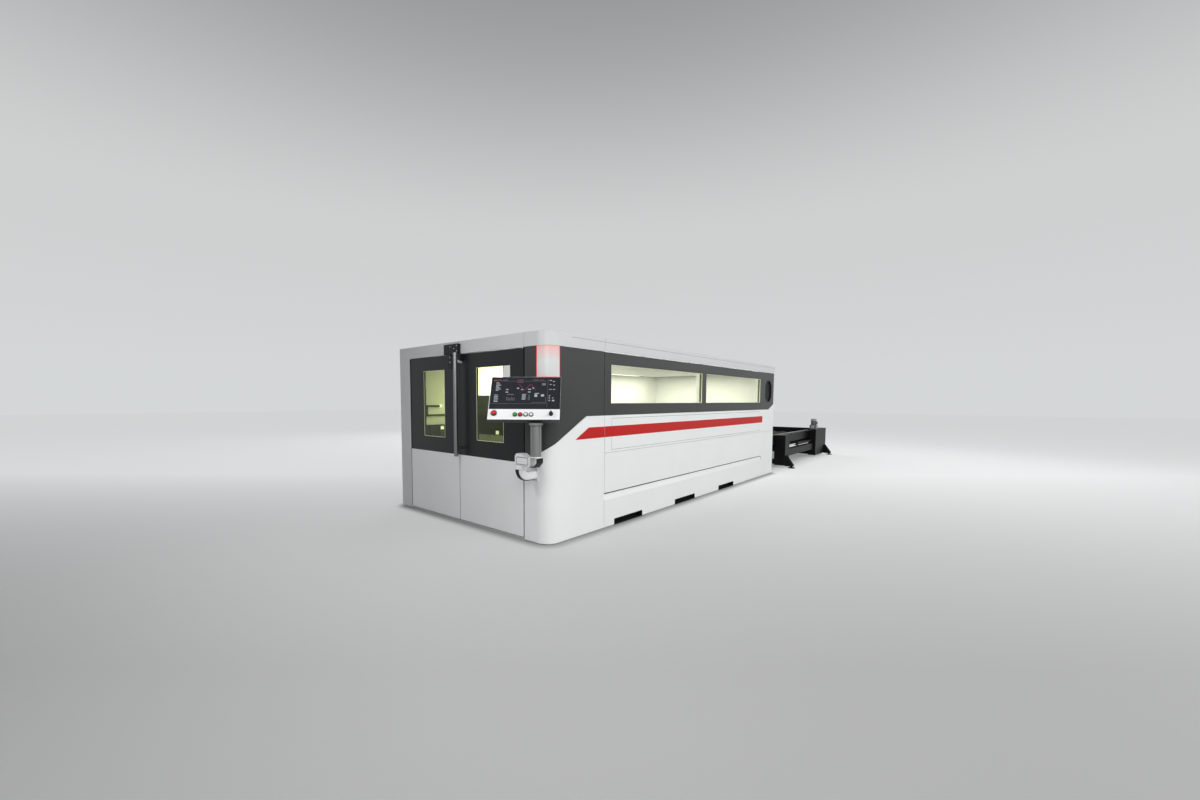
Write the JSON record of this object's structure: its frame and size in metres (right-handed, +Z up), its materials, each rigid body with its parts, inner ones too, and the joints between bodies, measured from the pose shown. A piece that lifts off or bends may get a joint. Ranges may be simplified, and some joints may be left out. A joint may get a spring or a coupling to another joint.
{
  "type": "fiber laser cutting machine",
  "caption": "Enclosed fiber laser cutting machine with double front doors, side windows, a control panel on a swing arm and a two-level pallet shuttle table behind.",
  "frame": {"origin": "on the floor, on the centre plane of the cabin, under the front face of the doors", "axes": "+X to the right seen from the doors, towards the windowed side, +Y from the doors towards the shuttle table, +Z up"},
  "size_m": [3.164, 11.519, 2.1],
  "materials": {
    "light_paint": "satin light grey powder coat",
    "dark_paint": "satin dark grey powder coat",
    "panel_white": "fine-textured white powder coat",
    "black_paint": "semi-gloss black paint",
    "frame_paint": "matt grey paint",
    "bed_paint": "matt grey-green paint",
    "green_paint": "matt dark green paint",
    "cast_paint": "satin light grey paint",
    "motor_paint": "semi-gloss grey paint",
    "red_film": "self-adhesive film",
    "lamp_red": "translucent lamp cover",
    "lamp_white": "opal lamp cover",
    "laser_glass": "laser-safe yellow-green",
    "black_plastic": "matt",
    "red_plastic": "gloss",
    "green_plastic": "gloss",
    "white_plastic": "gloss",
    "screen_glass": "dark touch glass",
    "brushed": "brushed",
    "steel": "machined",
    "slat_steel": "laser-cut, scaled",
    "chrome_rod": "hard chrome"
  },
  "bodies": {
    "machine": {"front_sill": "steel", "door_header": "dark_paint", "cabin_posts": "frame_paint", "top_rails": "frame_paint", "interior_lights": "lamp_white", "cornice": "light_paint", "roof": "light_paint", "left_front_column": "light_paint", "corner_cover": "light_paint", "corner_dark_panel": "dark_paint", "corner_lamp": "lamp_red", "right_base_panel": "light_paint", "right_middle_panel": "light_paint", "right_hatch": "light_paint", "red_stripe": "red_film", "right_upper_panel": "dark_paint", "right_windows": "laser_glass", "vent_grille": "black_plastic", "left_side_panels": "light_paint", "rear_wall": "light_paint", "lock_housing": "black_plastic", "machine_bed": "bed_paint", "bed_feet": "steel", "bed_rails": "steel", "shuttle_posts": "black_paint", "shuttle_beams": "black_paint", "shuttle_feet": "black_paint", "lift_cylinders": "black_paint", "drive_motor": "motor_paint", "arm_wall_elbow": "cast_paint", "arm_elbow_strip": "black_plastic"},
    "left_door": {"left_door_leaf": "light_paint", "left_door_skin": "dark_paint", "left_door_glass": "laser_glass"},
    "right_door": {"right_door_leaf": "light_paint", "right_door_skin": "dark_paint", "right_door_glass": "laser_glass", "door_handle": "brushed"},
    "gantry": {"gantry_beam": "bed_paint"},
    "carriage": {"carriage": "green_paint"},
    "head": {"cutting_head": "steel"},
    "pallet_1": {"pallet_1_frame": "black_paint", "pallet_1_slats": "slat_steel"},
    "lift": {"lift_frame": "black_paint"},
    "pallet_2": {"pallet_2_frame": "black_paint", "pallet_2_slats": "slat_steel"},
    "rods": {"lift_rods": "chrome_rod"},
    "arm": {"arm_upper_elbow": "cast_paint", "arm_end_cap": "black_plastic", "arm_tube": "cast_paint"},
    "panel": {"panel_coupling": "cast_paint", "panel_housing": "panel_white", "screen": "screen_glass", "button_bezels": "black_plastic"},
    "stop_button": {"estop_button": "red_plastic"},
    "green": {"green_button": "green_plastic"},
    "red": {"red_button": "red_plastic"},
    "white_left": {"white_left_button": "white_plastic"},
    "white_right": {"white_right_button": "white_plastic"},
    "selector": {"selector_knob": "black_plastic"}
  },
  "joints": [
    {"name": "left_door", "type": "hinge", "parent": "machine", "child": "left_door", "pos_m": [-1.09994, 0.022, 0.99], "axis": [0, 0, -1], "range_deg": [0, 95]},
    {"name": "right_door", "type": "hinge", "parent": "machine", "child": "right_door", "pos_m": [1.01194, 0.022, 0.99], "axis": [0, 0, 1], "range_deg": [0, 62]},
    {"name": "gantry_travel", "type": "slide", "parent": "machine", "child": "gantry", "axis": [0, 1, 0], "range_m": [-0.1, 4.2]},
    {"name": "carriage_travel", "type": "slide", "parent": "gantry", "child": "carriage", "axis": [1, 0, 0], "range_m": [-0.51, 1]},
    {"name": "head_travel", "type": "slide", "parent": "carriage", "child": "head", "axis": [0, 0, -1], "range_m": [-0.05, 0.1]},
    {"name": "pallet_1_travel", "type": "slide", "parent": "machine", "child": "pallet_1", "axis": [0, 1, 0], "range_m": [0, 5]},
    {"name": "lift_travel", "type": "slide", "parent": "machine", "child": "lift", "axis": [0, 0, -1], "range_m": [-0.21, 0]},
    {"name": "pallet_2_travel", "type": "slide", "parent": "lift", "child": "pallet_2", "axis": [0, -1, 0], "range_m": [0, 5]},
    {"name": "rod_travel", "type": "slide", "parent": "machine", "child": "rods", "axis": [0, 1, 0], "range_m": [0, 0.21]},
    {"name": "arm_swivel", "type": "hinge", "parent": "machine", "child": "arm", "pos_m": [1.198, -0.2, 0.79], "axis": [0, 0, 1], "range_deg": [-60, 5]},
    {"name": "panel_turn", "type": "hinge", "parent": "arm", "child": "panel", "pos_m": [1.41, -0.2, 1.1985], "axis": [0, 0, -1], "range_deg": [-4, 12]},
    {"name": "stop_button_press", "type": "slide", "parent": "panel", "child": "stop_button", "axis": [-0.5427, 0.6749, -0.5], "range_m": [0, 0.004], "stiffness_N_per_m": 800},
    {"name": "green_press", "type": "slide", "parent": "panel", "child": "green", "axis": [-0.5427, 0.6749, -0.5], "range_m": [0, 0.004], "stiffness_N_per_m": 800},
    {"name": "red_press", "type": "slide", "parent": "panel", "child": "red", "axis": [-0.5427, 0.6749, -0.5], "range_m": [0, 0.004], "stiffness_N_per_m": 800},
    {"name": "white_left_press", "type": "slide", "parent": "panel", "child": "white_left", "axis": [-0.5427, 0.6749, -0.5], "range_m": [0, 0.004], "stiffness_N_per_m": 800},
    {"name": "white_right_press", "type": "slide", "parent": "panel", "child": "white_right", "axis": [-0.5427, 0.6749, -0.5], "range_m": [0, 0.004], "stiffness_N_per_m": 800},
    {"name": "selector_turn", "type": "hinge", "parent": "panel", "child": "selector", "pos_m": [1.54275, -0.13689, 1.30189], "axis": [0.5427, -0.6749, 0.5], "range_deg": [-45, 45]}
  ],
  "couplings": [
    {"joint": "rod_travel", "follows": "lift_travel", "ratio": -1}
  ]
}
